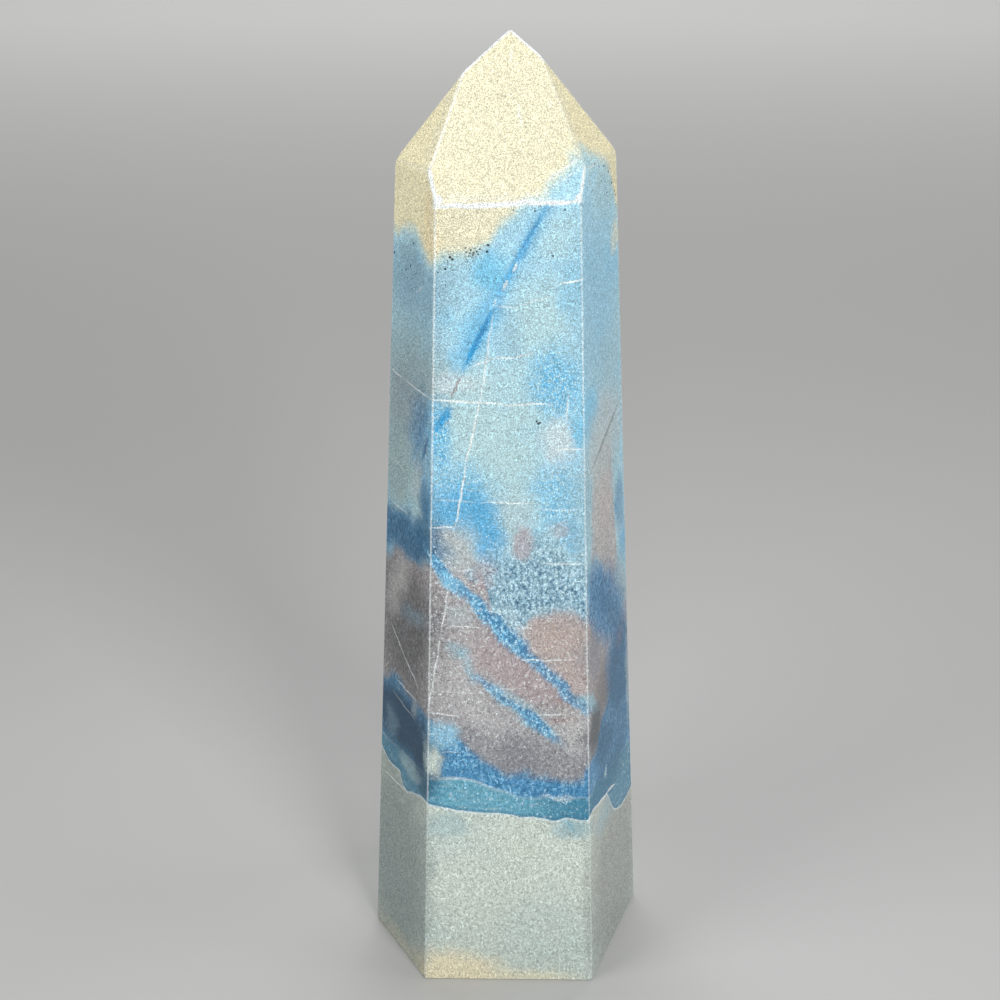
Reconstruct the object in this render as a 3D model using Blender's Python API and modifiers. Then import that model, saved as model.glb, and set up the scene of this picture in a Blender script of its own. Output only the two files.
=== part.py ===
"""Trolleite obelisk: a six-sided tower of polished stone with a faceted point.

The stone is one solid. A plain block is sawn by one plane for each face, in the
order a lapidary works: the six tapering sides, then the six facets of the point.
The arrises are then eased. Units are metres, +Z is up, the origin is the centre of
the base, and the front face looks along -Y.
"""

from math import cos, radians, sin

import bmesh
import bpy
from mathutils import Matrix, Vector

MM = 0.001

# The rough block that the tower is sawn from
BLOCK_WIDTH = 60.0 * MM
BLOCK_HEIGHT = 130.0 * MM

# Side faces: bearing of the face's normal in degrees, from -Y towards +X, how far
# the face leans in from upright in degrees, and its distance from the axis at the base
FRONT_REACH = 12.68 * MM
RIGHT_REACH = 14.74 * MM
LEFT_REACH = 15.43 * MM
SIDE_FACES = {
    "front": (-0.3, 3.0, FRONT_REACH),
    "right": (66.9, 3.2, RIGHT_REACH),
    "back_right": (123.8, 3.2, LEFT_REACH),
    "back": (180.0, 3.0, FRONT_REACH),
    "back_left": (246.9, 2.9, RIGHT_REACH),
    "left": (303.8, 3.3, LEFT_REACH),
}

# Facets of the point: bearing of the normal, rise of the normal above the horizon,
# and the height at which the facet's plane crosses the tower's axis
TIP_FACETS = {
    "front": (-0.5, 27.5, 110.7 * MM),
    "left": (304.0, 31.4, 114.2 * MM),
    "right": (66.6, 31.6, 113.5 * MM),
    "back": (180.0, 28.5, 110.9 * MM),
}

# The two rear side facets start from the same corners as the left and right facets
CORNER_FACETS = {
    "back_left": (236.1, 36.3, ("left", "back_left", "left")),
    "back_right": (119.9, 40.9, ("right", "back_right", "right")),
}

# Width of the polished rounding on each kind of arris
SIDE_ARRIS = 0.30 * MM
BASE_ARRIS = 0.30 * MM
TIP_ARRIS = 0.40 * MM
FRONT_SHOULDER = 0.55 * MM
SIDE_SHOULDER = 0.90 * MM
ARRIS_SEGMENTS = 4

# Heights that sort the arrises into base, side, shoulder and tip, and the steepness
# past which a short shoulder arris belongs to the corner of a facet
BASE_LEVEL = 0.5 * MM
CREST_LEVEL = 99.5 * MM
CORNER_STEEPNESS = 0.5

# Points nearer a saw plane than this count as lying on it
SAW_TOLERANCE = 0.002 * MM

# Finish of the polished stone
STONE_COLOUR = (0.36, 0.50, 0.56, 1.0)
STONE_ROUGHNESS = 0.2


def clear_scene():
    """Removes every object, so that the script builds the same model in any file."""
    for old in list(bpy.data.objects):
        bpy.data.objects.remove(old)


def facing(bearing, rise):
    """Unit normal of a face, from its bearing and its rise above the horizon."""
    turn = radians(bearing)
    lift = radians(rise)
    return Vector((sin(turn) * cos(lift), -cos(turn) * cos(lift), sin(lift)))


def side_plane(name):
    """Point on a side face at the base, and the face's normal."""
    bearing, lean, reach = SIDE_FACES[name]
    return facing(bearing, 0.0) * reach, facing(bearing, lean)


def facet_plane(name):
    """Point where a facet's plane crosses the axis, and the facet's normal."""
    bearing, rise, peak = TIP_FACETS[name]
    return Vector((0.0, 0.0, peak)), facing(bearing, rise)


def meeting_point(planes):
    """The corner that three planes share."""
    normals = Matrix([normal for point, normal in planes])
    offsets = Vector([normal.dot(point) for point, normal in planes])
    return normals.inverted() @ offsets


def corner_facet_plane(name):
    """Plane of a rear facet that starts at the corner of two sides and a facet."""
    bearing, rise, (side_a, side_b, facet) = CORNER_FACETS[name]
    corner = meeting_point([side_plane(side_a), side_plane(side_b), facet_plane(facet)])
    return corner, facing(bearing, rise)


def saw(stone, point, normal):
    """Takes off all that lies beyond a plane, and closes the cut with a flat face."""
    cut = bmesh.ops.bisect_plane(
        stone,
        geom=stone.verts[:] + stone.edges[:] + stone.faces[:],
        dist=SAW_TOLERANCE,
        plane_co=point,
        plane_no=normal,
        clear_outer=True,
    )
    rim = [item for item in cut["geom_cut"] if isinstance(item, bmesh.types.BMEdge)]
    bmesh.ops.contextual_create(stone, geom=rim)


def arris_width(edge):
    """How far an arris is eased: by its place on the tower."""
    low, high = sorted((vert.co for vert in edge.verts), key=lambda place: place.z)
    if high.z < BASE_LEVEL:
        return BASE_ARRIS
    if low.z < BASE_LEVEL:
        return SIDE_ARRIS
    steepness = (high.z - low.z) / edge.calc_length()
    if high.z > CREST_LEVEL or steepness > CORNER_STEEPNESS:
        return TIP_ARRIS
    middle = (low + high) / 2.0
    along_front = abs(middle.x) < abs(middle.y)
    return FRONT_SHOULDER if along_front else SIDE_SHOULDER


def make_stone():
    """The sawn tower, with the rounding of each arris as a bevel weight."""
    stone = bmesh.new()
    middle = Matrix.Translation((0.0, 0.0, BLOCK_HEIGHT / 2.0))
    block = Matrix.Diagonal((BLOCK_WIDTH, BLOCK_WIDTH, BLOCK_HEIGHT, 1.0))
    bmesh.ops.create_cube(stone, size=1.0, matrix=middle @ block)
    for name in SIDE_FACES:
        saw(stone, *side_plane(name))
    for name in TIP_FACETS:
        saw(stone, *facet_plane(name))
    for name in CORNER_FACETS:
        saw(stone, *corner_facet_plane(name))
    bmesh.ops.recalc_face_normals(stone, faces=stone.faces[:])
    weight = stone.edges.layers.float.new("bevel_weight_edge")
    for edge in stone.edges:
        edge[weight] = arris_width(edge) / SIDE_SHOULDER
    mesh = bpy.data.meshes.new("obelisk")
    stone.to_mesh(mesh)
    stone.free()
    return mesh


def make_polish():
    """Colour and gloss of the polished blue stone."""
    polish = bpy.data.materials.new("polished_trolleite")
    polish.use_nodes = True
    shader = polish.node_tree.nodes["Principled BSDF"]
    shader.inputs["Base Color"].default_value = STONE_COLOUR
    shader.inputs["Roughness"].default_value = STONE_ROUGHNESS
    shader.inputs["Metallic"].default_value = 0.0
    return polish


def make_obelisk():
    """The finished tower, in its own collection."""
    tower = bpy.data.collections.new("trolleite_obelisk")
    bpy.context.scene.collection.children.link(tower)
    obelisk = bpy.data.objects.new("obelisk", make_stone())
    tower.objects.link(obelisk)
    obelisk.data.materials.append(make_polish())
    easing = obelisk.modifiers.new("eased_arrises", "BEVEL")
    easing.limit_method = "WEIGHT"
    easing.offset_type = "OFFSET"
    easing.width = SIDE_SHOULDER
    easing.segments = ARRIS_SEGMENTS
    easing.profile = 0.5
    return obelisk


clear_scene()
make_obelisk()
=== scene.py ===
"""Finish and setting of the trolleite obelisk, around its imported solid."""

from math import atan2, cos, degrees, pi, radians, sin

import bmesh
import bpy
from mathutils import Matrix, Vector


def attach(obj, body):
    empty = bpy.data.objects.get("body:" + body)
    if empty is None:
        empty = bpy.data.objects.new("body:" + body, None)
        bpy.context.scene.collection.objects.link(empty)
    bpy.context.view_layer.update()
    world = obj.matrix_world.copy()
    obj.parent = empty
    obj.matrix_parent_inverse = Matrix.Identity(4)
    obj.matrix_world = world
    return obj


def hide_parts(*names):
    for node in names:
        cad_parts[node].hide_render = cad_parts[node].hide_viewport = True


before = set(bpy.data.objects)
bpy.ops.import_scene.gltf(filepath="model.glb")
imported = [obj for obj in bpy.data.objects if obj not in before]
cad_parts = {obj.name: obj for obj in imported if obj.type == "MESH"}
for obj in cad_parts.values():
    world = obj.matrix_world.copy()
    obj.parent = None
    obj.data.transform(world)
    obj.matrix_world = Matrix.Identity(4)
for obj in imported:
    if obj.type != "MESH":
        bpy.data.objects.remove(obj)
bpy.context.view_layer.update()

# The tower itself: one lump of stone, sawn flat on thirteen sides and polished.
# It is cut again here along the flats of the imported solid, then its arrises are
# rounded as a lapidary does, most of all along the shoulder under the point.
MM = 0.001
SMALLEST_FLAT = 20.0 * MM * MM
FLAT_WITHIN = radians(0.4)
ROUGH_BLOCK = 300.0 * MM
SAW_TOLERANCE = 0.002 * MM
BASE_LEVEL = 1.0 * MM
CREST_LEVEL = 99.5 * MM
CORNER_STEEPNESS = 0.5
ARRIS_WIDTHS = {
    "base": 0.28 * MM,
    "side": 0.28 * MM,
    "tip": 0.38 * MM,
    "front shoulder": 1.00 * MM,
    "side shoulder": 0.60 * MM,
}
ROUNDING_SEGMENTS = 6


def flats_of(solid):
    """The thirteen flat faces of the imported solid, each as a point and a normal."""
    shape = bmesh.new()
    shape.from_mesh(solid.data)
    bmesh.ops.remove_doubles(shape, verts=shape.verts[:], dist=SAW_TOLERANCE)
    bmesh.ops.dissolve_limit(
        shape, angle_limit=FLAT_WITHIN, verts=shape.verts[:], edges=shape.edges[:]
    )
    wide = [face for face in shape.faces if face.calc_area() > SMALLEST_FLAT]
    flats = [(face.calc_center_median(), face.normal.copy()) for face in wide]
    shape.free()
    return flats


def saw(block, point, normal):
    """Takes off what lies beyond a plane and closes the cut with one flat face."""
    cut = bmesh.ops.bisect_plane(
        block, geom=block.verts[:] + block.edges[:] + block.faces[:],
        dist=SAW_TOLERANCE, plane_co=point, plane_no=normal, clear_outer=True,
    )
    rim = [part for part in cut["geom_cut"] if isinstance(part, bmesh.types.BMEdge)]
    bmesh.ops.contextual_create(block, geom=rim)


def arris_kind(edge):
    """Which rounding an arris gets, by its place on the tower."""
    low, high = sorted((vert.co for vert in edge.verts), key=lambda place: place.z)
    if high.z < BASE_LEVEL:
        return "base"
    if low.z < BASE_LEVEL:
        return "side"
    steepness = (high.z - low.z) / edge.calc_length()
    if high.z > CREST_LEVEL or steepness > CORNER_STEEPNESS:
        return "tip"
    middle = (low + high) / 2.0
    return "front shoulder" if abs(middle.x) < abs(middle.y) else "side shoulder"


flats = flats_of(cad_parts["obelisk"])
tower = bmesh.new()
bmesh.ops.create_cube(tower, size=ROUGH_BLOCK)
for point, normal in flats:
    saw(tower, point, normal)
bmesh.ops.recalc_face_normals(tower, faces=tower.faces[:])
rounding = tower.edges.layers.float.new("bevel_weight_edge")
widest = max(ARRIS_WIDTHS.values())
for edge in tower.edges:
    edge[rounding] = ARRIS_WIDTHS[arris_kind(edge)] / widest
body = bpy.data.meshes.new("polished_obelisk")
tower.to_mesh(body)
tower.free()
obelisk = bpy.data.objects.new("polished_obelisk", body)
bpy.context.scene.collection.objects.link(obelisk)
easing = obelisk.modifiers.new("polished_arrises", "BEVEL")
easing.limit_method = "WEIGHT"
easing.offset_type = "OFFSET"
easing.width = widest
easing.segments = ROUNDING_SEGMENTS
easing.profile = 0.5
easing.harden_normals = True
body.shade_smooth()

# The stone is quartz with blue trolleite and other phosphates grown all through it. From
# the point down it is cream, sky blue, taupe, deep blue, teal and pale sea green. The
# pattern is solid and measured in millimetres, so each zone carries on round the arrises.
stone = bpy.data.materials.new("polished_trolleite")
stone.use_nodes = True
tree = stone.node_tree
shader = tree.nodes["Principled BSDF"]
PIGMENTS = {
    "cream": (237, 229, 192),
    "warm cream": (230, 211, 164),
    "pale cream": (228, 224, 198),
    "sky": (170, 214, 233),
    "pale aqua": (184, 216, 221),
    "misty blue": (158, 194, 208),
    "steel blue": (140, 178, 197),
    "bright sky": (134, 200, 233),
    "patch blue": (128, 198, 230),
    "strong blue": (90, 174, 220),
    "vein blue": (40, 156, 214),
    "deep blue": (74, 136, 182),
    "night blue": (48, 108, 146),
    "ink blue": (48, 98, 140),
    "blue black": (8, 60, 90),
    "rosy white": (206, 222, 226),
    "frost": (216, 231, 236),
    "ice": (196, 226, 236),
    "crack and highlight white": (236, 243, 243),
    "chalk": (200, 199, 198),
    "greige": (186, 198, 200),
    "rose": (184, 163, 165),
    "brick rose": (150, 118, 116),
    "peach taupe": (189, 173, 166),
    "taupe": (171, 166, 169),
    "brown taupe": (150, 142, 142),
    "dark taupe": (142, 143, 150),
    "umber": (106, 106, 107),
    "dark umber": (78, 84, 88),
    "side shade grey": (148, 151, 147),
    "sea glass": (168, 196, 200),
    "teal": (110, 174, 198),
    "lagoon": (44, 118, 152),
    "sea green": (213, 223, 212),
    "moss grey": (200, 212, 203),
    "wet moss and shade": (148, 164, 162),
    "sand": (232, 223, 192),
    "soot": (18, 24, 30),
}


def node(kind, **settings):
    """A new node of the stone's material, with its settings."""
    made = tree.nodes.new(kind)
    for setting, value in settings.items():
        setattr(made, setting, value)
    return made


def feed(socket, source):
    """Gives an input a fixed value, or the output of another node."""
    if isinstance(source, bpy.types.NodeSocket):
        tree.links.new(source, socket)
    else:
        socket.default_value = source


def reckon(operation, *values):
    """One step of arithmetic on numbers."""
    made = node("ShaderNodeMath", operation=operation)
    for socket, value in zip(made.inputs, values):
        feed(socket, value)
    return made.outputs[0]


def move(operation, *values):
    """One step of arithmetic on points. A length, distance or dot product is a number."""
    made = node("ShaderNodeVectorMath", operation=operation)
    for socket, value in zip(made.inputs, values):
        feed(socket, value)
    scalar = operation in {"LENGTH", "DISTANCE", "DOT_PRODUCT"}
    return made.outputs["Value" if scalar else "Vector"]


def enlarge(point, factor):
    """Multiplies a point, or a colour, by one number."""
    made = node("ShaderNodeVectorMath", operation="SCALE")
    feed(made.inputs[0], point)
    feed(made.inputs["Scale"], factor)
    return made.outputs["Vector"]


def ramp(value, start, end, low=0.0, high=1.0):
    """Takes a number from one span to another, with a soft start and end."""
    made = node("ShaderNodeMapRange", interpolation_type="SMOOTHSTEP")
    feed(made.inputs["Value"], value)
    feed(made.inputs["From Min"], start)
    feed(made.inputs["From Max"], end)
    feed(made.inputs["To Min"], low)
    feed(made.inputs["To Max"], high)
    return made.outputs["Result"]


def cloud(point, per_mm, detail=2.0, roughness=0.5):
    """Natural unevenness with about so many lumps to the millimetre."""
    made = node("ShaderNodeTexNoise")
    feed(made.inputs["Vector"], point)
    made.inputs["Scale"].default_value = per_mm
    made.inputs["Detail"].default_value = detail
    made.inputs["Roughness"].default_value = roughness
    return made.outputs


def jostle(point, lumps, size):
    """Pushes a point about by the three channels of a cloud."""
    push = move("SUBTRACT", lumps["Color"], (0.5, 0.5, 0.5))
    return move("ADD", point, enlarge(push, size))


def pigment(name):
    """A mineral's colour as a screen shows it, taken to the renderer's linear scale."""
    shown = [channel / 255.0 for channel in PIGMENTS[name]]
    return [((c + 0.055) / 1.055) ** 2.4 for c in shown] + [1.0]


def lay(under, over, share):
    """Lays one colour over another by a share from 0 to 1."""
    made = node("ShaderNodeMix", data_type="RGBA")
    feed(made.inputs["Factor"], share)
    feed(made.inputs[6], pigment(under) if isinstance(under, str) else under)
    feed(made.inputs[7], pigment(over) if isinstance(over, str) else over)
    return made.outputs[2]


# Each side of the tower is named for the way it looks, and each facet of the point for
# the side it stands over. A place on the stone is given as a side, the distance across
# it from the tower's axis, to the right as one faces it, and the height, in millimetres.
BEARINGS = {
    "front": 0, "right": 66, "back right": 124, "back": 180, "back left": 247, "left": 304,
}
FACET_RISE = 0.2
UNDERSIDE_RISE = -0.5


def off_bearing(normal, name):
    """How many degrees a flat's bearing is off the bearing of a named side."""
    bearing = degrees(atan2(normal.x, -normal.y))
    return abs((bearing - BEARINGS[name] + 180.0) % 360.0 - 180.0)


sides = {}
for point, normal in flats:
    side = min(BEARINGS, key=lambda name: off_bearing(normal, name))
    if normal.z > FACET_RISE:
        side += " tip"
    if normal.z > UNDERSIDE_RISE:
        sides[side] = (point / MM, normal)


def spot(side, across, height):
    """The point of the stone's surface at a place on one of its sides."""
    on_flat, normal = sides[side]
    level = Vector((-normal.y, normal.x, 0.0)).normalized()
    out = Vector((normal.x, normal.y, 0.0))
    reach = (normal.dot(on_flat) - normal.z * height) / out.length
    return level * across + out.normalized() * reach + Vector((0.0, 0.0, height))


GROWTH_DEPTH = 4.0


def lens(point, side, across, height, half_width, half_height, tilt=0.0, depth=GROWTH_DEPTH):
    """How deep a point is in a lens-shaped growth: 1 at its middle, 0 from its rim out."""
    normal = sides[side][1]
    level = Vector((-normal.y, normal.x, 0.0)).normalized()
    longways = level * cos(radians(tilt)) + normal.cross(level) * sin(radians(tilt))
    axes = Matrix((longways, normal, longways.cross(normal))).transposed()
    ball = node("ShaderNodeTexGradient", gradient_type="SPHERICAL")
    feed(ball.inputs["Vector"], point)
    ball.texture_mapping.vector_type = "TEXTURE"
    ball.texture_mapping.translation = spot(side, across, height)
    ball.texture_mapping.rotation = axes.to_euler()
    ball.texture_mapping.scale = (half_width, depth, half_height)
    return ball.outputs[1]


def vein(point, side, start, end, half_width, depth=GROWTH_DEPTH):
    """How deep a point is in a thin growth that runs from one place to another."""
    run = Vector(end) - Vector(start)
    middle = (Vector(end) + Vector(start)) / 2.0
    tilt = degrees(atan2(run.y, run.x))
    return lens(point, side, *middle, run.length / 2.0, half_width, tilt, depth)


# Clouds of several sizes make the grain of the rock. Its soft growths follow a place that
# is pushed about loosely by them, and its sharp limits follow one that is held more firm.
coordinates = node("ShaderNodeTexCoord")
place = enlarge(coordinates.outputs["Object"], 1.0 / MM)
drifts = cloud(place, 0.09)
blotches = cloud(place, 0.4)
grains = cloud(place, 7.5, detail=1.0)
specks = cloud(move("MULTIPLY", place, (1.0, 1.0, 0.75)), 12.0, detail=0.0)
crystals = cloud(move("MULTIPLY", place, (1.0, 1.0, 0.65)), 3.0, detail=3.0, roughness=0.8)
flecks = cloud(move("MULTIPLY", place, (1.0, 1.0, 0.7)), 5.5, detail=1.0, roughness=0.6)
flakes = node("ShaderNodeTexVoronoi")
feed(flakes.inputs["Vector"], place)
flakes.inputs["Scale"].default_value = 3.0
loose = jostle(jostle(place, blotches, 2.4), grains, 1.5)
firm = jostle(jostle(place, blotches, 0.7), grains, 0.16)
rightward = move("DOT_PRODUCT", place, (1.0, 0.0, 0.0))
forward = move("DOT_PRODUCT", place, (0.0, -1.0, 0.0))
bearing = reckon("ARCTAN2", rightward, forward)
round_share = reckon("MULTIPLY_ADD", bearing, 0.5 / pi, 0.5)
loose_height = move("DOT_PRODUCT", loose, (0.0, 0.0, 1.0))
firm_height = move("DOT_PRODUCT", firm, (0.0, 0.0, 1.0))
CURVE_SPAN = 120.0


def contour(behind, places):
    """Height of a zone's limit all round the tower, from its height behind and places."""
    line = node("ShaderNodeFloatCurve")
    curve = line.mapping.curves[0]
    for end in curve.points:
        end.location = (end.location.x, behind / CURVE_SPAN)
    for side, across, height in places:
        point = spot(side, across, height)
        share = atan2(point.x, -point.y) * 0.5 / pi + 0.5
        curve.points.new(share, height / CURVE_SPAN)
    line.mapping.update()
    feed(line.inputs["Value"], round_share)
    return reckon("MULTIPLY", line.outputs[0], CURVE_SPAN)


def above(height, limit, fade):
    """Share of a zone that lies over a limit, with a fade across the limit."""
    return ramp(reckon("SUBTRACT", height, limit), -fade, fade)


def grow(colour, point, growths, fade):
    """Lays lens-shaped growths over a colour, half faded out at the half sizes given."""
    reach = 1.0 / (1.0 - fade / 2.0)
    for over, share, side, across, height, half_width, half_height, *tilt in growths:
        growth = lens(point, side, across, height, reach * half_width, reach * half_height, *tilt)
        colour = lay(colour, over, ramp(growth, 0.0, fade, 0.0, share))
    return colour


VEIN_FADE = 0.6


def thread(colour, point, veins, spread):
    """Lays thin growths over a colour, each half faded out near its half width."""
    for over, share, side, start, end, half_width in veins:
        growth = vein(point, side, start, end, spread * half_width)
        colour = lay(colour, over, ramp(growth, 0.0, VEIN_FADE, 0.0, share))
    return colour


# The upper half is pale blue quartz, clouded with aqua and with bluer, grainy growths.
# Each growth is given by its mineral, its share, its place, its half width and half
# height, and where it matters its tilt in degrees and its depth.
colour = lay("sky", "pale aqua", ramp(drifts["Fac"], 0.4, 0.62, 0.0, 0.8))
colour = lay(colour, "bright sky", ramp(blotches["Fac"], 0.5, 0.75, 0.0, 0.45))
flecked_sky = lay("patch blue", "strong blue", ramp(flecks["Fac"], 0.50, 0.40, 0.0, 0.85))
flecked_sky = lay(flecked_sky, "ice", ramp(flecks["Fac"], 0.53, 0.62, 0.0, 0.8))
flecked_deep = lay("blue black", "deep blue", ramp(crystals["Fac"], 0.36, 0.50, 0.35, 1.0))
flecked_deep = lay(flecked_deep, "steel blue", ramp(crystals["Fac"], 0.53, 0.64, 0.0, 0.7))
BLUE_CLOUDS = (
    ("steel blue", 0.90, "left", -1.0, 86.5, 5.5, 4.5),
    ("misty blue", 0.80, "left", -1.0, 79.5, 6.0, 4.5),
    ("wet moss and shade", 0.60, "left", -1.0, 76.0, 6.0, 5.5),
    ("dark taupe", 0.35, "left", -3.0, 73.5, 4.0, 3.5),
    ("wet moss and shade", 0.60, "left", -4.0, 66.5, 3.5, 5.5),
    ("greige", 0.60, "left", 0.5, 66.5, 1.0, 2.8),
    (flecked_deep, 0.60, "left", 0.9, 72.0, 2.3, 4.4),
    ("deep blue", 0.65, "left", 2.2, 64.5, 1.2, 3.0),
    ("pale aqua", 0.85, "front", 3.4, 84.0, 3.0, 4.0),
    ("pale aqua", 0.55, "front", 5.0, 92.5, 2.2, 2.2),
    ("patch blue", 0.95, "front", -1.5, 88.7, 1.9, 1.9),
    ("bright sky", 0.70, "front", -3.0, 83.3, 3.6, 1.5, 64.0),
    ("patch blue", 0.45, "front", 6.3, 87.3, 1.3, 1.7),
    ("rosy white", 0.75, "front", -5.0, 77.6, 2.4, 1.1),
    ("pale aqua", 0.90, "front", -1.2, 70.5, 4.4, 7.0),
    ("greige", 0.35, "front", 0.5, 63.0, 2.2, 3.0),
    ("misty blue", 0.50, "front", 0.2, 82.5, 1.3, 3.2, 10.0),
    (flecked_sky, 0.90, "front", 4.9, 77.8, 2.7, 3.5),
    ("rosy white", 0.85, "front", 5.2, 71.2, 1.7, 2.6),
    ("patch blue", 0.85, "front", 7.2, 72.4, 0.9, 1.8),
    (flecked_sky, 0.90, "front", -7.0, 72.3, 1.3, 3.8),
    (flecked_sky, 0.75, "front", 6.0, 65.4, 2.7, 3.6),
    (flecked_sky, 0.80, "front", -4.6, 65.6, 3.4, 3.4, -18.0),
    ("strong blue", 0.75, "front", -4.6, 63.6, 3.4, 2.8, -18.0),
    ("strong blue", 0.55, "front", -2.3, 63.0, 1.4, 3.0, 12.0),
    ("strong blue", 0.80, "front", -2.0, 60.0, 1.6, 2.2),
    ("strong blue", 0.60, "front", 7.2, 60.9, 1.3, 2.0),
    ("bright sky", 0.70, "right", 3.4, 88.0, 2.2, 2.3),
    ("cream", 0.95, "right", 4.7, 90.2, 1.1, 1.6),
    ("misty blue", 0.65, "right", 0.0, 85.0, 6.0, 9.0),
    ("bright sky", 0.35, "right", 0.0, 87.0, 5.0, 8.0),
    ("misty blue", 0.60, "right", 2.5, 76.0, 4.0, 5.0),
    ("patch blue", 0.80, "right", -3.2, 74.0, 2.0, 2.6),
    ("greige", 0.80, "right", 1.0, 70.0, 5.0, 4.5),
)
colour = grow(colour, loose, BLUE_CLOUDS, fade=0.7)

# The middle is taupe, with rose and peach in it. Banks of blue crystals hang down into it
# at the front and cross the other sides
taupe_top = contour(58.0, (
    ("back left", -7.0, 56.0), ("back left", 2.0, 52.0), ("back left", 8.5, 54.5),
    ("left", -7.0, 55.0), ("left", -4.0, 56.0), ("left", 0.0, 56.8), ("left", 3.2, 57.5),
    ("front", -8.0, 61.6), ("front", -5.0, 61.2), ("front", -3.8, 59.2), ("front", -2.4, 56.0),
    ("front", -1.2, 51.6), ("front", 0.8, 49.8), ("front", 3.0, 51.4), ("front", 5.0, 52.2),
    ("front", 8.4, 51.4), ("right", -6.5, 52.0), ("right", -4.0, 59.0), ("right", -3.4, 65.0),
    ("right", -1.0, 68.2), ("right", 2.4, 67.6), ("right", 3.3, 61.0), ("right", 4.2, 54.0),
    ("right", 7.0, 50.0), ("back right", -4.0, 47.0), ("back right", 3.0, 52.0),
    ("back", -7.0, 60.0),
))
taupe_share = above(loose_height, taupe_top, fade=1.0)
taupe = lay("dark taupe", "taupe", ramp(loose_height, 33.0, 46.0))
taupe = lay(taupe, "chalk", ramp(drifts["Fac"], 0.45, 0.7, 0.0, 0.5))
taupe = lay(taupe, "umber", ramp(crystals["Fac"], 0.46, 0.34, 0.0, 0.45))
taupe = lay(taupe, "sea green", ramp(crystals["Fac"], 0.54, 0.66, 0.0, 0.45))
colour = lay(taupe, colour, taupe_share)
mottled_umber = lay("dark umber", "umber", ramp(crystals["Fac"], 0.34, 0.48, 0.4, 1.0))
mottled_umber = lay(mottled_umber, "dark taupe", ramp(crystals["Fac"], 0.52, 0.64, 0.0, 0.7))
TAUPE_CLOUDS = (
    (mottled_umber, 0.95, "left", -1.0, 47.0, 7.0, 8.5),
    ("chalk", 0.62, "left", -3.3, 52.0, 1.6, 4.8, -22.0),
    ("steel blue", 0.35, "left", 0.5, 49.8, 2.8, 0.8, 12.0),
    ("greige", 0.85, "front", -5.6, 59.6, 2.4, 2.4),
    ("rose", 0.60, "front", -1.8, 56.4, 1.3, 2.0),
    ("greige", 0.60, "front", -5.2, 51.6, 1.4, 1.3),
    ("chalk", 0.45, "front", -6.0, 43.0, 3.4, 5.5),
    ("peach taupe", 0.85, "front", 5.2, 48.8, 3.2, 2.6),
    ("peach taupe", 0.70, "front", 7.2, 44.0, 2.0, 4.0),
    ("rose", 0.45, "front", 0.0, 45.0, 4.5, 2.5, -40.0),
    ("rose", 0.40, "front", 4.5, 42.0, 3.0, 2.0),
    ("brick rose", 0.55, "front", 6.3, 41.1, 0.7, 0.6),
    ("brick rose", 0.50, "front", 6.3, 38.3, 1.0, 0.6),
    ("chalk", 0.55, "front", -2.5, 38.5, 2.6, 1.6, -40.0),
    ("chalk", 0.50, "front", 7.8, 37.0, 1.2, 3.5),
    ("dark taupe", 0.55, "front", 2.5, 33.8, 4.2, 2.4),
    ("misty blue", 0.80, "front", -5.2, 47.0, 1.1, 1.0),
    ("misty blue", 0.65, "front", -3.8, 44.6, 0.6, 1.5, 25.0),
    ("greige", 0.60, "right", -0.5, 62.0, 3.4, 6.0),
    ("dark taupe", 0.85, "right", -3.8, 46.0, 2.2, 3.6),
    ("brown taupe", 0.95, "right", -1.2, 40.0, 2.8, 3.4),
    ("umber", 0.30, "right", -1.0, 39.5, 2.4, 3.0),
    ("peach taupe", 0.45, "right", 0.0, 61.5, 2.6, 4.5),
    ("greige", 0.65, "right", -0.6, 68.0, 3.8, 2.8),
    ("misty blue", 0.75, "right", -4.9, 63.5, 1.4, 6.5),
    ("misty blue", 0.50, "right", 3.8, 64.0, 1.2, 5.0),
    ("rose", 0.60, "back", -2.0, 46.0, 5.0, 4.0, 20.0),
    ("chalk", 0.60, "back", 4.0, 40.0, 3.0, 4.0),
    ("greige", 0.60, "back right", 0.0, 44.0, 3.0, 5.0),
    ("peach taupe", 0.60, "back left", 1.0, 47.0, 4.0, 4.0, 30.0),
)
colour = grow(colour, loose, TAUPE_CLOUDS, fade=0.8)
BLUE_BANKS = (
    ("deep blue", 0.60, "right", 5.2, 60.0, 1.4, 3.4),
    ("misty blue", 0.70, "right", 5.4, 50.5, 2.4, 5.0),
    ("steel blue", 0.85, "right", -3.6, 55.0, 2.6, 2.6),
    (flecked_deep, 0.95, "right", -2.4, 51.6, 2.6, 4.6, 20.0),
    (flecked_deep, 0.95, "right", 0.8, 49.0, 7.5, 3.6, -52.0),
    ("night blue", 0.55, "right", 1.0, 48.5, 5.5, 1.6, -52.0),
    (flecked_deep, 0.90, "right", 4.6, 40.5, 4.5, 4.0, -30.0),
    ("blue black", 0.35, "right", 4.5, 42.0, 3.0, 3.4, -30.0),
    ("strong blue", 0.60, "back right", -3.0, 57.0, 7.0, 2.0, 38.0),
    ("strong blue", 0.70, "back", 2.0, 66.0, 4.5, 3.0, 15.0),
    ("deep blue", 0.80, "back left", 0.0, 58.0, 8.0, 2.2, -12.0),
    ("night blue", 0.90, "left", -2.0, 58.8, 7.0, 2.4, 4.0),
    (flecked_deep, 0.45, "left", -2.0, 59.0, 7.0, 2.4, 4.0),
    ("blue black", 0.20, "left", -1.0, 58.6, 4.5, 1.6, 4.0),
    ("night blue", 0.70, "left", 2.2, 61.5, 1.6, 4.0),
    ("brick rose", 0.45, "right", 4.7, 42.4, 1.1, 1.2),
)
colour = grow(colour, loose, BLUE_BANKS, fade=0.6)
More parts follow.
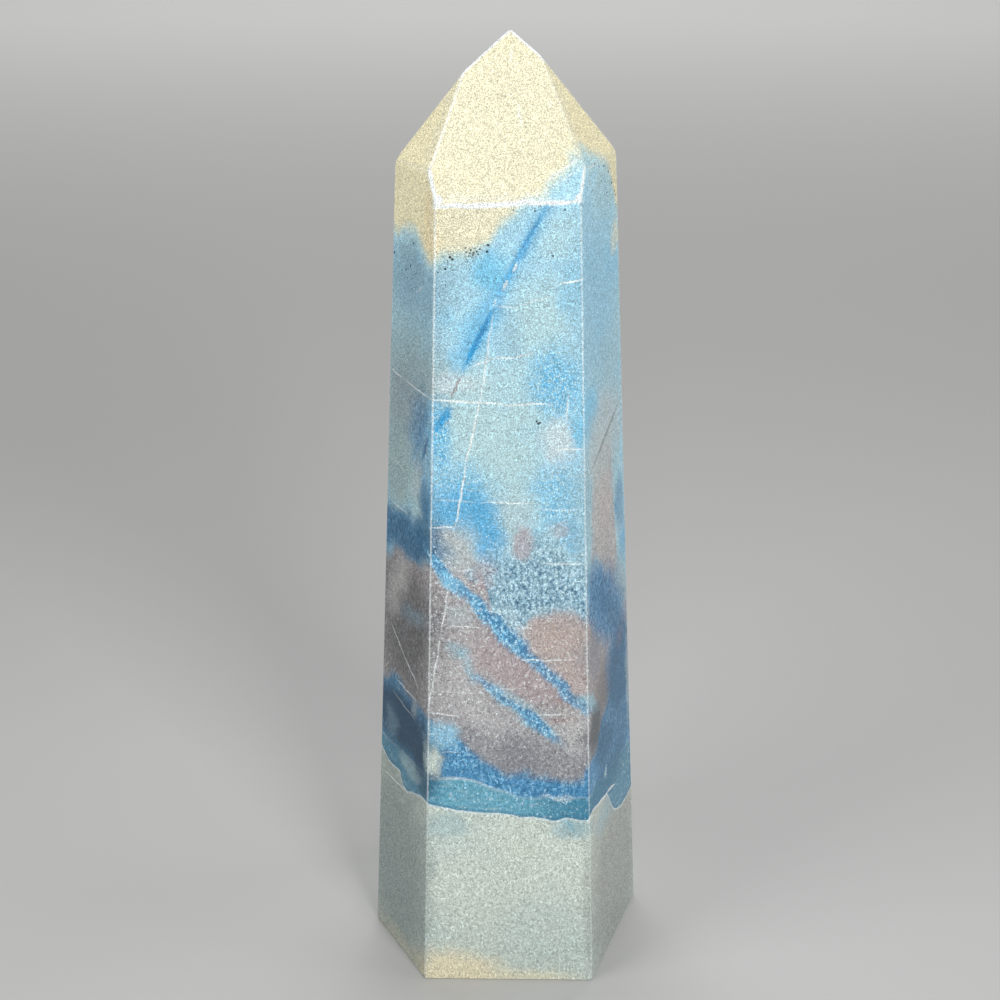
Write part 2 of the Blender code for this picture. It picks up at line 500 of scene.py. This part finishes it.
crystal_top = contour(30.0, (
    ("front", -4.0, 50.0), ("front", -2.4, 57.6), ("front", 1.0, 59.4), ("front", 5.0, 60.2),
    ("front", 8.0, 58.6), ("right", -6.6, 57.5), ("right", -5.6, 45.0),
))
crystal_mix = lay("ink blue", "steel blue", ramp(crystals["Fac"], 0.36, 0.50, 0.1, 1.0))
crystal_mix = lay(crystal_mix, "misty blue", ramp(blotches["Fac"], 0.46, 0.62, 0.0, 0.40))
crystal_mix = lay(crystal_mix, "ice", ramp(crystals["Fac"], 0.51, 0.60, 0.0, 0.85))
bank_share = ramp(reckon("SUBTRACT", loose_height, crystal_top), 2.2, -2.2, 0.0, 0.9)
colour = lay(colour, crystal_mix, reckon("MULTIPLY", bank_share, taupe_share))
CRYSTAL_BANK = (
    (crystal_mix, 0.55, "front", -3.2, 56.5, 1.2, 1.0, -40.0),
    ("rose", 0.62, "front", 1.8, 60.2, 1.15, 1.6),
    ("rose", 0.35, "front", -2.0, 56.4, 1.0, 1.5),
    ("rose", 0.40, "front", 5.6, 61.8, 0.9, 0.8),
)
colour = grow(colour, loose, CRYSTAL_BANK, fade=0.5)

# One straight vein of pure blue runs down the front from the shoulder, with white flecks
# and a darker core, and a fine dark line crosses each side. Each is given by its mineral,
# its share, the side, the two ends and its half width.
FINE_VEINS = (
    ("strong blue", 0.30, "front", (5.2, 98.0), (-0.8, 86.4), 0.90),
    ("strong blue", 0.40, "front", (0.8, 90.0), (-5.6, 77.2), 1.10),
    ("vein blue", 0.55, "front", (4.8, 97.4), (-1.6, 85.2), 0.36),
    ("vein blue", 0.90, "front", (-0.9, 86.3), (-4.8, 78.2), 0.30),
    ("deep blue", 0.45, "front", (3.3, 94.6), (1.1, 90.6), 0.15),
    ("deep blue", 0.85, "front", (-1.3, 85.5), (-3.7, 80.4), 0.18),
    ("frost", 0.85, "front", (1.1, 90.1), (0.4, 88.7), 0.13),
    ("frost", 0.85, "front", (0.1, 88.5), (-0.5, 87.0), 0.16),
    ("frost", 0.60, "front", (-0.9, 86.6), (-1.4, 85.5), 0.13),
    ("brown taupe", 0.90, "front", (-4.3, 79.0), (-5.8, 75.8), 0.13),
    ("ink blue", 0.70, "left", (2.5, 72.2), (1.1, 68.0), 0.22),
    ("dark umber", 0.45, "right", (-5.0, 66.8), (6.8, 72.6), 0.27),
)
sleek = jostle(jostle(place, crystals, 0.8), grains, 0.4)
colour = thread(colour, sleek, FINE_VEINS, spread=1.4)

# Other veins cross the clouds and the taupe, ragged and full of pale flecks
flecked_blue = lay("deep blue", "patch blue", ramp(crystals["Fac"], 0.44, 0.58, 0.0, 0.9))
flecked_blue = lay(flecked_blue, "frost", ramp(crystals["Fac"], 0.56, 0.66, 0.0, 0.7))
RAGGED_VEINS = (
    ("vein blue", 0.80, "front", (-5.4, 76.0), (-7.7, 71.8), 0.45),
    (flecked_blue, 0.95, "front", (-9.6, 60.2), (-4.6, 54.4), 0.80),
    ("bright sky", 0.80, "front", (-7.4, 57.2), (-4.0, 53.6), 0.90),
    ("frost", 0.25, "front", (-1.4, 53.6), (2.8, 46.0), 1.40),
    ("strong blue", 0.60, "front", (-6.6, 56.8), (3.4, 45.0), 0.80),
    (flecked_blue, 0.90, "front", (-6.2, 56.2), (1.4, 47.2), 0.90),
    (flecked_blue, 0.95, "front", (-2.2, 51.4), (3.2, 45.4), 1.20),
    (flecked_blue, 0.80, "front", (0.8, 48.0), (7.4, 41.4), 0.85),
    (flecked_blue, 0.80, "front", (4.0, 44.4), (10.4, 38.0), 0.85),
    ("misty blue", 0.60, "front", (-3.6, 44.6), (6.6, 34.8), 1.20),
    (flecked_blue, 0.75, "front", (-4.4, 44.8), (2.4, 38.4), 0.60),
    (flecked_blue, 0.90, "front", (-0.6, 41.4), (7.0, 34.4), 0.85),
    ("misty blue", 0.90, "right", (-7.2, 42.0), (-2.4, 36.4), 0.90),
    ("deep blue", 0.35, "left", (2.9, 76.5), (-1.0, 67.0), 0.60),
    ("strong blue", 0.70, "back", (-6.5, 93.0), (4.5, 69.0), 0.60),
    (flecked_blue, 0.75, "back", (5.0, 60.0), (-9.0, 41.0), 0.80),
    ("strong blue", 0.65, "back left", (-6.0, 84.0), (5.0, 61.0), 0.60),
    ("strong blue", 0.65, "back right", (-6.5, 69.0), (5.5, 87.0), 0.50),
)
streaked = jostle(jostle(jostle(place, blotches, 1.5), crystals, 1.4), grains, 0.7)
colour = thread(colour, streaked, RAGGED_VEINS, spread=1.3)

# The top is cream, and so is all of the point but its right corner
cream_foot = contour(93.0, (
    ("back left", -5.5, 94.5), ("back left", 0.0, 95.5), ("back left", 5.0, 92.5),
    ("left", -5.3, 91.7), ("left", -3.0, 92.4), ("left", -1.5, 92.5), ("left", 0.0, 91.5),
    ("left", 2.4, 90.0), ("front", -6.6, 90.4), ("front", -4.0, 91.1), ("front", -2.5, 91.6),
    ("front", -1.4, 92.5), ("front", -0.5, 93.8), ("front", 0.5, 94.9), ("front", 2.0, 95.8),
    ("front tip", 3.5, 96.6), ("front tip", 4.5, 97.3), ("front tip", 5.5, 98.3),
    ("right tip", -3.2, 99.7), ("right tip", 0.0, 99.3), ("right", 2.0, 98.6),
    ("right", 3.8, 96.8), ("right", 5.4, 93.6), ("back right", -2.0, 91.5),
    ("back right", 4.0, 94.5), ("back", -4.0, 95.0),
))
warm_growth = lens(loose, "left", 2.6, 94.0, 2.4, 6.0, depth=1.3)
cream = lay("cream", "warm cream", ramp(warm_growth, 0.0, 0.7, 0.0, 0.8))
cream = lay(cream, "warm cream", ramp(drifts["Fac"], 0.5, 0.75, 0.0, 0.15))
# The paler cream over the front facet of the point and the top of the front is painted shade that
# dims those flats.
CREAM_PAINTED_SHADE = (
    ("pale cream", 0.70, "front tip", 0.0, 102.0, 9.0, 9.0, 0.0, 1.8),
    ("pale cream", 0.80, "front", -3.5, 94.0, 5.5, 4.5, 0.0, 1.4),
)
cream = grow(cream, loose, CREAM_PAINTED_SHADE, fade=0.8)
CREAM_FADE = 0.9
aqua_foot = reckon("SUBTRACT", cream_foot, CREAM_FADE)
colour = lay(colour, "pale aqua", above(loose_height, aqua_foot, CREAM_FADE))
colour = lay(colour, cream, above(loose_height, cream_foot, CREAM_FADE))

# A band of deep blue lies under the taupe, then a white line, then teal in thin beds
band_top = contour(33.0, (
    ("back left", -7.0, 35.0), ("back left", 0.0, 37.5), ("back left", 8.0, 38.0),
    ("left", -6.5, 38.5), ("left", -4.5, 39.5), ("left", 0.0, 38.8), ("left", 3.5, 38.2),
    ("front", -8.4, 37.6), ("front", -6.2, 36.4), ("front", -5.0, 35.0), ("front", -3.8, 33.6),
    ("front", -2.0, 32.4), ("front", 0.0, 31.0), ("front", 2.0, 30.6), ("front", 5.0, 30.4),
    ("front", 8.8, 30.2), ("right", -6.8, 31.5), ("right", -4.0, 32.5), ("right", -2.8, 35.0),
    ("right", 0.0, 36.6), ("right", 2.0, 37.4), ("right", 5.0, 40.0), ("right", 7.6, 41.0),
    ("back right", -3.0, 39.0), ("back right", 4.0, 35.0), ("back", -5.0, 33.5),
))
white_line = contour(28.5, (
    ("back left", -7.0, 29.0), ("back left", 4.0, 30.5), ("left", -6.5, 30.0),
    ("left", 0.0, 30.2), ("left", 3.7, 30.2), ("front", -9.0, 30.1), ("front", -6.5, 30.2),
    ("front", -4.5, 30.0), ("front", -2.0, 29.0), ("front", -0.5, 28.5), ("front", 1.0, 27.9),
    ("front", 2.5, 27.6), ("front", 6.0, 27.6), ("front", 8.8, 27.7), ("right", -6.0, 27.8),
    ("right", 0.0, 27.0), ("right", 7.0, 26.0), ("back right", 0.0, 26.5),
))
base_top = contour(26.0, (
    ("back left", -7.0, 27.0), ("back left", 0.0, 27.2), ("back left", 7.0, 28.6),
    ("left", -7.2, 28.4), ("left", -6.0, 27.6), ("left", -4.5, 27.0), ("left", -2.0, 26.9),
    ("left", -1.6, 25.8), ("left", -0.8, 25.4), ("left", 0.6, 25.8), ("left", 2.0, 26.4),
    ("left", 3.8, 26.8), ("front", -9.2, 26.6), ("front", -7.0, 26.0), ("front", -5.0, 25.6),
    ("front", -3.0, 25.4), ("front", 0.5, 25.2), ("front", 1.6, 24.9), ("front", 4.5, 24.6),
    ("front", 5.6, 24.4), ("front", 7.0, 24.8), ("front", 9.6, 24.7), ("right", -6.5, 25.1),
    ("right", -4.0, 24.7), ("right", -2.0, 24.4), ("right", -0.5, 23.4), ("right", 1.0, 20.6),
    ("right", 2.5, 19.2), ("right", 5.5, 18.3), ("right", 8.3, 18.8), ("back right", -5.0, 20.5),
    ("back right", 0.0, 23.0), ("back right", 7.0, 25.0),
))
depth_in_band = reckon("SUBTRACT", firm_height, white_line)
bands = lay("deep blue", flecked_blue, ramp(blotches["Fac"], 0.35, 0.65, 0.25, 0.75))
bands = lay(bands, "night blue", ramp(drifts["Fac"], 0.45, 0.7, 0.0, 0.4))
beds = cloud(move("MULTIPLY", place, (0.35, 0.35, 2.2)), 1.0, detail=2.0)
teal_beds = lay("teal", "sea glass", ramp(beds["Fac"], 0.52, 0.7, 0.0, 0.5))
teal_beds = lay(teal_beds, "lagoon", ramp(rightward, 0.0, 8.0, 0.0, 0.6))
teal_beds = lay(teal_beds, "frost", ramp(crystals["Fac"], 0.55, 0.67, 0.0, 0.6))
bands = lay(teal_beds, bands, ramp(depth_in_band, -0.25, 0.25))
line_share = ramp(rightward, -7.0, 3.0, 0.6, 0.15)
bands = lay(bands, "frost", ramp(reckon("ABSOLUTE", depth_in_band), 0.30, 0.06, 0.0, line_share))
colour = lay(bands, colour, above(loose_height, band_top, fade=0.9))
BAND_PATCHES = (
    ("blue black", 0.90, "left", -1.5, 34.0, 7.5, 4.4),
    ("lagoon", 0.60, "left", -1.0, 28.5, 7.0, 2.6),
    ("blue black", 0.60, "left", 3.0, 30.0, 1.8, 3.5),
    ("steel blue", 0.35, "left", -4.4, 33.0, 1.6, 2.2),
    (flecked_sky, 0.70, "front", -7.0, 36.0, 1.8, 1.9),
    ("ice", 0.30, "front", -7.0, 36.0, 1.8, 1.9),
    ("sea green", 0.90, "front", -8.3, 32.4, 1.0, 1.8),
    ("frost", 0.70, "front", 5.8, 27.7, 1.9, 0.18),
    ("sea glass", 0.60, "left", 3.6, 33.0, 0.8, 2.2),
    ("greige", 0.40, "left", 0.8, 37.8, 0.8, 1.3),
    ("sea glass", 0.60, "left", 0.2, 29.0, 2.4, 1.1),
    ("dark umber", 0.85, "right", -4.4, 35.8, 2.0, 3.0),
    ("lagoon", 0.70, "right", -1.0, 26.0, 6.0, 2.6),
    ("night blue", 0.75, "right", -1.0, 31.5, 3.0, 2.6),
    ("night blue", 0.75, "right", 4.4, 38.0, 4.0, 5.0),
    ("blue black", 0.25, "right", 2.0, 33.0, 6.0, 8.0),
    ("greige", 0.50, "right", 7.4, 37.0, 0.9, 7.5),
    ("ice", 0.80, "right", -1.0, 27.5, 0.35, 0.7),
)
colour = grow(colour, loose, BAND_PATCHES, fade=0.6)

# The foot is pale sea green, cut off sharply from the teal by a pale hair, and turns to
# sand along its lower edge
rim_height = reckon("SUBTRACT", firm_height, base_top)
foot = lay("sea green", "moss grey", ramp(loose_height, 16.0, 3.0))
foot = lay(foot, "sea glass", ramp(drifts["Fac"], 0.45, 0.7, 0.0, 0.2))
foot = lay(foot, "wet moss and shade", ramp(crystals["Fac"], 0.47, 0.34, 0.0, 0.4))
foot = lay(foot, "frost", ramp(crystals["Fac"], 0.53, 0.66, 0.0, 0.35))
FOOT_PATCHES = (
    ("sea glass", 0.60, "front", -7.0, 23.5, 2.6, 1.6),
    ("sea glass", 0.90, "front", 8.0, 23.2, 2.4, 1.5),
    ("sand", 0.95, "front", -6.5, 1.0, 6.0, 3.6, -6.0),
    ("sand", 0.60, "front", 3.0, 0.0, 5.5, 1.8),
    ("teal", 0.50, "front", 7.2, 23.7, 1.4, 0.35, -50.0),
    # The wet moss over all the left side of the foot and the grey over all the right side are
    # painted shade that darkens those two sides.
    ("wet moss and shade", 0.85, "left", -2.8, 13.5, 8.4, 16.0, 0.0, 1.7),
    ("sand", 0.35, "left", 0.0, 0.0, 9.0, 2.6),
    ("side shade grey", 0.75, "right", 1.5, 10.0, 9.4, 16.0, 0.0, 1.8),
    ("misty blue", 0.50, "right", -1.5, 21.5, 3.0, 2.0),
    ("sand", 0.50, "back", 2.0, 2.0, 8.0, 4.0),
)
foot = grow(foot, loose, FOOT_PATCHES, fade=0.7)
foot = lay(foot, "frost", ramp(rim_height, -0.45, -0.1, 0.0, 0.75))
colour = lay(colour, "night blue", ramp(rim_height, 0.7, 0.1, 0.0, 0.4))
colour = lay(foot, colour, ramp(rim_height, -0.06, 0.06))

# Healed cracks run through all of it as pale hairs, most of them nearly level. They are
# grouped by how plainly they show, and each is given by its side and its two ends.
CRACKS = (
    (0.85, (
        ("front", (4.5, 87.8), (7.9, 88.4)), ("front", (4.2, 70.6), (8.4, 70.8)),
        ("front", (-9.0, 76.2), (0.5, 75.5)), ("front", (-3.0, 75.6), (5.4, 75.6)),
        ("front", (-2.4, 77.6), (-4.4, 67.8)), ("front", (-3.9, 70.4), (-5.5, 61.0)),
        ("right", (-6.0, 25.0), (3.0, 23.1)), ("right", (-1.0, 24.2), (2.8, 23.2)),
        ("left", (-7.6, 24.5), (0.4, 25.2)),
    )),
    (0.60, (
        ("front", (6.05, 77.2), (6.05, 73.4)), ("front", (-3.4, 64.9), (3.6, 64.8)),
        ("front", (-8.2, 62.0), (-4.9, 62.1)), ("front", (3.0, 57.8), (9.0, 57.7)),
        ("front", (-5.4, 57.0), (-3.2, 57.0)), ("front", (-6.6, 50.2), (-1.6, 49.9)),
        ("front", (0.6, 49.9), (2.8, 50.1)), ("front", (0.6, 46.0), (8.4, 46.0)),
        ("front", (-9.0, 39.1), (-5.0, 38.6)), ("front", (3.0, 38.8), (7.0, 39.1)),
        ("front", (-6.0, 55.6), (-7.2, 48.6)), ("front", (-7.0, 50.2), (-8.7, 38.8)),
        ("left", (-5.9, 76.7), (-2.6, 76.2)), ("left", (-3.4, 76.3), (3.0, 76.1)),
        ("left", (-4.0, 39.4), (2.2, 39.0)), ("back", (-8.0, 71.0), (7.0, 72.0)),
        ("back", (-9.0, 47.0), (2.0, 46.2)), ("back left", (-7.0, 74.5), (6.0, 76.2)),
        ("back right", (-7.0, 63.0), (7.0, 61.0)), ("front", (-1.2, 86.0), (-2.9, 74.4)),
        ("front", (-3.8, 79.3), (-1.0, 80.6)), ("front", (-2.0, 80.5), (1.2, 80.4)),
        ("front", (0.2, 80.3), (3.0, 81.0)), ("left", (-5.2, 46.6), (-0.6, 42.4)),
        ("left", (-2.0, 43.8), (2.2, 40.4)), ("front tip", (3.0, 96.6), (7.4, 100.2)),
    )),
    (0.35, (
        ("front", (-1.4, 85.7), (1.4, 85.6)), ("front", (0.8, 85.6), (4.7, 86.9)),
        ("front", (-8.0, 65.1), (-2.6, 64.8)), ("front", (2.6, 64.1), (8.4, 64.0)),
        ("front", (-8.6, 41.9), (-2.6, 41.5)), ("front", (-3.6, 41.3), (-2.0, 42.6)),
        ("front", (-0.9, 42.2), (1.8, 42.3)), ("front", (-7.6, 33.7), (-4.6, 33.7)),
        ("front", (9.9, 20.4), (7.7, 17.1)), ("left", (-6.4, 66.5), (-1.6, 66.3)),
        ("left", (-6.0, 61.6), (-0.4, 61.3)), ("left", (-5.0, 37.4), (1.8, 36.1)),
        ("left", (-0.9, 85.9), (0.9, 87.1)), ("right", (-4.2, 98.9), (1.6, 98.0)),
        ("front tip", (0.5, 109.3), (0.1, 106.8)), ("front tip", (0.9, 104.6), (1.3, 101.2)),
        ("back", (2.0, 88.0), (-3.0, 60.0)), ("front tip", (3.8, 96.4), (7.2, 99.0)),
    )),
)
CRACK_HALF_WIDTH = 0.14
CRACK_DEPTH = 6.0
for share, cracks in CRACKS:
    deepest = 0.0
    for side, start, end in cracks:
        crack = vein(firm, side, start, end, CRACK_HALF_WIDTH, CRACK_DEPTH)
        deepest = reckon("MAXIMUM", deepest, crack)
    colour = lay(colour, "crack and highlight white", ramp(deepest, 0.0, 0.5, 0.0, share))

# Grains of a black mineral are scattered where the cream gives way to blue, over a dust
# of finer ones
SOOT_GRAINS = (
    ("front", ((-5.4, 90.4), (-5.2, 90.2), (-4.3, 89.9), (-4.4, 89.0), (-4.6, 89.8), (-5.9, 89.3),
               (-6.7, 89.0), (-6.9, 88.8), (-6.0, 87.8), (-2.5, 90.2), (-2.4, 89.8), (-1.8, 90.9),
               (-1.7, 91.6), (-3.9, 91.0), (-3.7, 90.6), (-3.5, 91.2), (-3.4, 90.4), (-3.2, 90.9),
               (-3.1, 91.3), (-3.0, 90.5), (-2.9, 91.0), (-2.8, 90.7), (-3.3, 90.7), (-4.0, 91.4),
               (-3.6, 90.9), (-2.6, 91.2), (0.4, 93.9), (0.6, 95.0), (2.6, 94.8), (3.2, 95.3),
               (5.4, 95.0), (4.4, 90.6), (-3.8, 82.0), (3.0, 73.8), (3.2, 73.6), (3.35, 73.7))),
    ("left", ((-3.2, 89.3), (-2.4, 88.9), (-1.2, 90.8), (-1.8, 88.5), (-2.7, 87.9), (-3.0, 88.3),
              (-1.5, 87.3), (-5.0, 89.0))),
    ("right", ((-0.3, 98.4), (0.6, 98.0), (1.8, 97.8), (3.3, 97.0), (4.2, 95.7), (2.2, 95.0),
               (2.8, 95.0), (4.9, 94.7), (5.2, 94.2), (5.4, 93.3), (1.0, 97.0), (3.6, 94.6),
               (1.2, 96.5), (-1.6, 96.0), (-1.2, 96.0), (0.8, 96.3), (0.8, 95.8))),
    ("back", ((-2.0, 94.2), (-1.2, 94.6), (0.4, 93.0), (1.6, 92.4), (2.2, 93.1), (3.4, 92.0))),
)
FAR_OFF = 100.0
SOOT_DUST = (
    ("front", -4.4, 90.0, 3.2, 2.2), ("left", -1.6, 88.4, 3.0, 4.0), ("right", 2.8, 95.8, 3.6, 3.2),
)
dusty = 0.0
for side, across, height, half_width, half_height in SOOT_DUST:
    growth = lens(loose, side, across, height, half_width, half_height)
    dusty = reckon("MAXIMUM", dusty, growth)
dust_share = ramp(dusty, 0.0, 0.5, 0.0, 0.85)
dust_share = reckon("MULTIPLY", dust_share, ramp(grains["Fac"], 0.60, 0.68))
colour = lay(colour, "soot", dust_share)
to_nearest = FAR_OFF
for side, grains_there in SOOT_GRAINS:
    for across, height in grains_there:
        to_grain = move("DISTANCE", firm, spot(side, across, height))
        to_nearest = reckon("MINIMUM", to_nearest, to_grain)
grain_radius = ramp(blotches["Fac"], 0.35, 0.65, 0.07, 0.14)
past_rim = reckon("SUBTRACT", to_nearest, grain_radius)
colour = lay(colour, "soot", ramp(past_rim, 0.04, -0.04, 0.0, 0.95))

# Painted highlights lie along the arrises as thin pale lines, boldest round the front shoulder.
# Each is given by its strength, how far in it is seen, and the two flats that meet. It is
# boldest along the arris, to a part of that reach, and weaker towards the foot.
ARRIS_HIGHLIGHTS = (
    (0.35, 0.14, "front", "front tip"), (0.95, 0.32, "left", "front tip"),
    (0.95, 0.30, "right", "front tip"), (0.45, 0.16, "left tip", "front tip"),
    (0.40, 0.14, "right tip", "front tip"), (0.95, 0.20, "back left tip", "left tip"),
    (0.95, 0.20, "back right tip", "right tip"), (0.95, 0.40, "back left tip", "front tip"),
    (0.95, 0.40, "back right tip", "front tip"), (0.90, 0.30, "back tip", "front tip"),
    (0.60, 0.20, "back tip", "left tip"), (0.60, 0.20, "back tip", "right tip"),
    (0.60, 0.14, "front", "left"), (0.60, 0.14, "front", "right"),
    (0.50, 0.16, "left", "back left"), (0.70, 0.24, "right", "back right"),
    (0.40, 0.13, "back", "back left"), (0.40, 0.13, "back", "back right"),
    (0.20, 0.12, "left", "left tip"), (0.20, 0.12, "right", "right tip"),
    (0.80, 0.16, "back", "back tip"),
)
ARRIS_RAGGEDNESS = 0.06
BOLD_TO = 0.3
true_height = move("DOT_PRODUCT", place, (0.0, 0.0, 1.0))
outside = {}
for side, (on_flat, normal) in sides.items():
    along_normal = move("DOT_PRODUCT", place, tuple(normal))
    outside[side] = reckon("SUBTRACT", along_normal, normal.dot(on_flat))
painted_arris_highlights = 0.0
for share, reach, side, other in ARRIS_HIGHLIGHTS:
    past_both = reckon("MINIMUM", outside[side], outside[other])
    ragged = reckon("MULTIPLY_ADD", grains["Fac"], ARRIS_RAGGEDNESS, past_both)
    painted_highlight = ramp(ragged, -reach, -BOLD_TO * reach, 0.0, share)
    painted_arris_highlights = reckon("MAXIMUM", painted_arris_highlights, painted_highlight)
painted_arris_highlights = reckon("MULTIPLY", painted_arris_highlights, ramp(true_height, 16.0, 36.0, 0.35, 1.0))
# The pale arris lines laid here are painted highlights, in the white of the healed cracks.
colour = lay(colour, "crack and highlight white", painted_arris_highlights)

# A painted highlight runs white along the lower side of the rolled shoulder under the front
# facet. Each stretch is given by its share, its two ends on the front and its half width.
SHOULDER_HIGHLIGHTS = (
    (0.95, (-10.0, 95.05), (10.4, 95.95), 0.34), (0.90, (-7.1, 95.3), (-6.1, 96.1), 0.55),
    (0.80, (6.2, 95.9), (7.1, 96.4), 0.34),
)
SHOULDER_DEPTH = 1.6
for share, start, end, half_width in SHOULDER_HIGHLIGHTS:
    painted_highlight = vein(firm, "front", start, end, half_width, SHOULDER_DEPTH)
    # This white is a painted highlight on the shoulder.
    colour = lay(colour, "crack and highlight white", ramp(painted_highlight, 0.05, 0.45, 0.0, share))

# Small white crystals glint in the taupe and the veins of the lower front
flaky = reckon("MULTIPLY", ramp(true_height, 29.0, 38.0), ramp(true_height, 70.0, 58.0))
flaky = reckon("MULTIPLY", flaky, ramp(outside["front"], -0.7, -0.2))
flake_share = ramp(flakes.outputs["Distance"], 0.36, 0.14, 0.0, 0.85)
flake_share = reckon("MULTIPLY", flake_share, flaky)
flake_share = reckon("MULTIPLY", flake_share, ramp(crystals["Fac"], 0.42, 0.54))
colour = lay(colour, "frost", flake_share)

# Every crystal of the rock is a little lighter or darker than the next, in three sizes,
# and the polish over them is even and glossy
MOTTLING = 0.20
SPARKLING = 0.36
CLOUDING = 0.14
QUARTZ_IOR = 1.54
GLOSS = 0.22
FINEST_POLISH = 0.14
COARSEST_POLISH = 0.24
RELIEF_STRENGTH = 0.25
RELIEF_HEIGHT = 0.01 * MM
mottle = ramp(grains["Fac"], 0.25, 0.75, 1.0 - MOTTLING, 1.0 + MOTTLING)
sparkle = ramp(specks["Fac"], 0.25, 0.75, 1.0 - SPARKLING, 1.0 + SPARKLING)
cloudiness = ramp(crystals["Fac"], 0.3, 0.7, 1.0 - CLOUDING, 1.0 + CLOUDING)
colour = enlarge(enlarge(enlarge(colour, mottle), sparkle), cloudiness)
feed(shader.inputs["Base Color"], colour)
polish = ramp(grains["Fac"], 0.3, 0.7, FINEST_POLISH, COARSEST_POLISH)
feed(shader.inputs["Roughness"], polish)
shader.inputs["IOR"].default_value = QUARTZ_IOR
shader.inputs["Specular IOR Level"].default_value = GLOSS
relief = node("ShaderNodeBump")
relief.inputs["Strength"].default_value = RELIEF_STRENGTH
relief.inputs["Distance"].default_value = RELIEF_HEIGHT
feed(relief.inputs["Height"], specks["Fac"])
feed(shader.inputs["Normal"], relief.outputs[0])
body.materials.append(stone)

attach(obelisk, "root")
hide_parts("obelisk")

# The floor is one wide sheet of pale matt card, laid level. The tower stands on it on
# its own flat base, with nothing to hold it.
FLOOR_WIDTH = 6.0
CARD_GREY = (0.54, 0.54, 0.53, 1.0)
bpy.ops.mesh.primitive_plane_add(size=FLOOR_WIDTH)
floor = bpy.context.object
floor.name = "floor"
card = bpy.data.materials.new("pale_card")
card.use_nodes = True
card_shader = card.node_tree.nodes["Principled BSDF"]
card_shader.inputs["Base Color"].default_value = CARD_GREY
card_shader.inputs["Roughness"].default_value = 0.9
card_shader.inputs["Specular IOR Level"].default_value = 0.1
floor.data.materials.append(card)

# The lights are soft rectangular panels: a strip and a stronger key in front, a small
# one by each side of the tower, and a wide one behind that lights the floor. Each is given
# by its place, what it looks at, its width and height, and its power in watts.
STUDIO_PANELS = (
    ("front_strip", (-0.003, -0.42, 0.20), (0.0, 0.0, 0.07), (0.12, 0.26), 0.33),
    ("key_panel", (0.20, -0.34, 0.24), (0.0, 0.0, 0.07), (0.16, 0.16), 1.02),
    ("left_panel", (-0.09, -0.05, 0.168), (0.0, 0.0, 0.095), (0.06, 0.06), 0.086),
    ("right_panel", (0.09, 0.0, 0.235), (0.0, 0.0, 0.105), (0.06, 0.06), 0.078),
    ("room_panel", (0.0, 1.1, 0.9), (0.0, 0.7, 0.0), (2.0, 0.8), 16.0),
)
AIR_COLOUR = (0.9, 0.93, 1.0, 1.0)
AIR_STRENGTH = 0.05
for name, stand, target, size, watts in STUDIO_PANELS:
    panel = bpy.data.lights.new(name, "AREA")
    panel.shape = "RECTANGLE"
    panel.size, panel.size_y = size
    panel.energy = watts
    lamp = bpy.data.objects.new(name, panel)
    lamp.location = stand
    looks_along = Vector(target) - Vector(stand)
    lamp.rotation_euler = looks_along.to_track_quat("-Z", "Y").to_euler()
    bpy.context.scene.collection.objects.link(lamp)
air = bpy.data.worlds.new("studio_air")
air.use_nodes = True
air.node_tree.nodes["Background"].inputs["Color"].default_value = AIR_COLOUR
air.node_tree.nodes["Background"].inputs["Strength"].default_value = AIR_STRENGTH
bpy.context.scene.world = air
bpy.context.scene.view_settings.view_transform = "Standard"

# The camera stands close, a little over one height from the stone and a little above its
# point, and looks down at the tower through a normal lens.
CAMERA_PLACE = Vector((0.516, -128.891, 126.457)) * MM
LOOKS_DOWN = radians(27.151)
TURNED = radians(0.602)
ROLLED = radians(-0.092)
optics = bpy.data.cameras.new("camera")
optics.sensor_width = 36.0
optics.lens = 46.8
optics.clip_start = 0.005
camera = bpy.data.objects.new("camera", optics)
camera.matrix_world = (
    Matrix.Translation(CAMERA_PLACE)
    @ Matrix.Rotation(TURNED, 4, "Z")
    @ Matrix.Rotation(pi / 2.0 - LOOKS_DOWN, 4, "X")
    @ Matrix.Rotation(ROLLED, 4, "Z")
)
bpy.context.scene.collection.objects.link(camera)
bpy.context.scene.camera = camera
